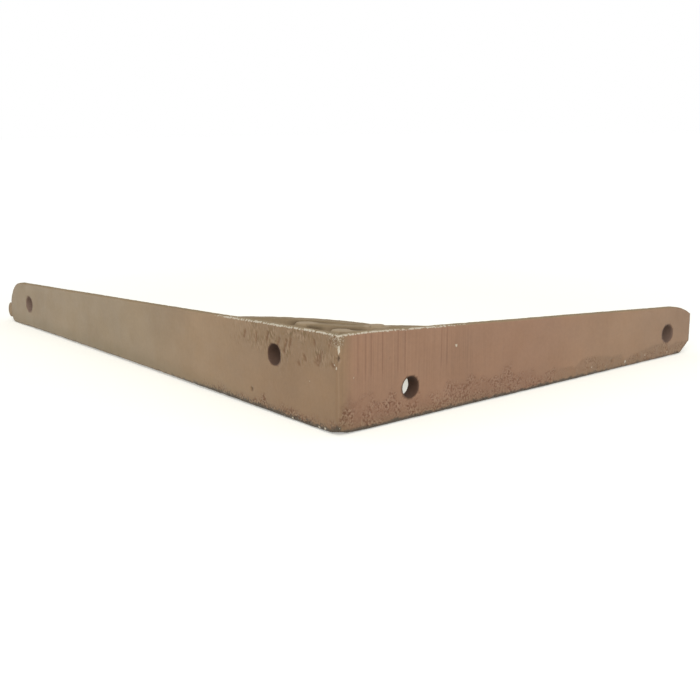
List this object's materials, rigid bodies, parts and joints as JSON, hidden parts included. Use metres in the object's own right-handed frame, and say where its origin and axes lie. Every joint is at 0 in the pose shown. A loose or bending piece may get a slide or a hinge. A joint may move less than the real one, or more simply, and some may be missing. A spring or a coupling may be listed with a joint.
{
  "type": "shelf bracket",
  "caption": "Right-angled cast iron shelf bracket: a long and a short tapered arm, drilled for screws and braced by crossed scrollwork.",
  "frame": {"origin": "middle of the bounding box in plan, at the height of the lowest edge of the corner, which rests on the surface that the bracket lies on", "axes": "+Y along the long arm, away from the corner; +X along the short arm, away from the corner; +Z across the width, square to the plane of the scrollwork"},
  "size_m": [0.15, 0.2116, 0.025],
  "materials": {
    "painted_iron": "thin satin brown paint over sand-cast iron, ground on the outer faces and worn to the metal along the edges"
  },
  "bodies": {
    "root": {"bracket": "painted_iron"}
  },
  "joints": []
}
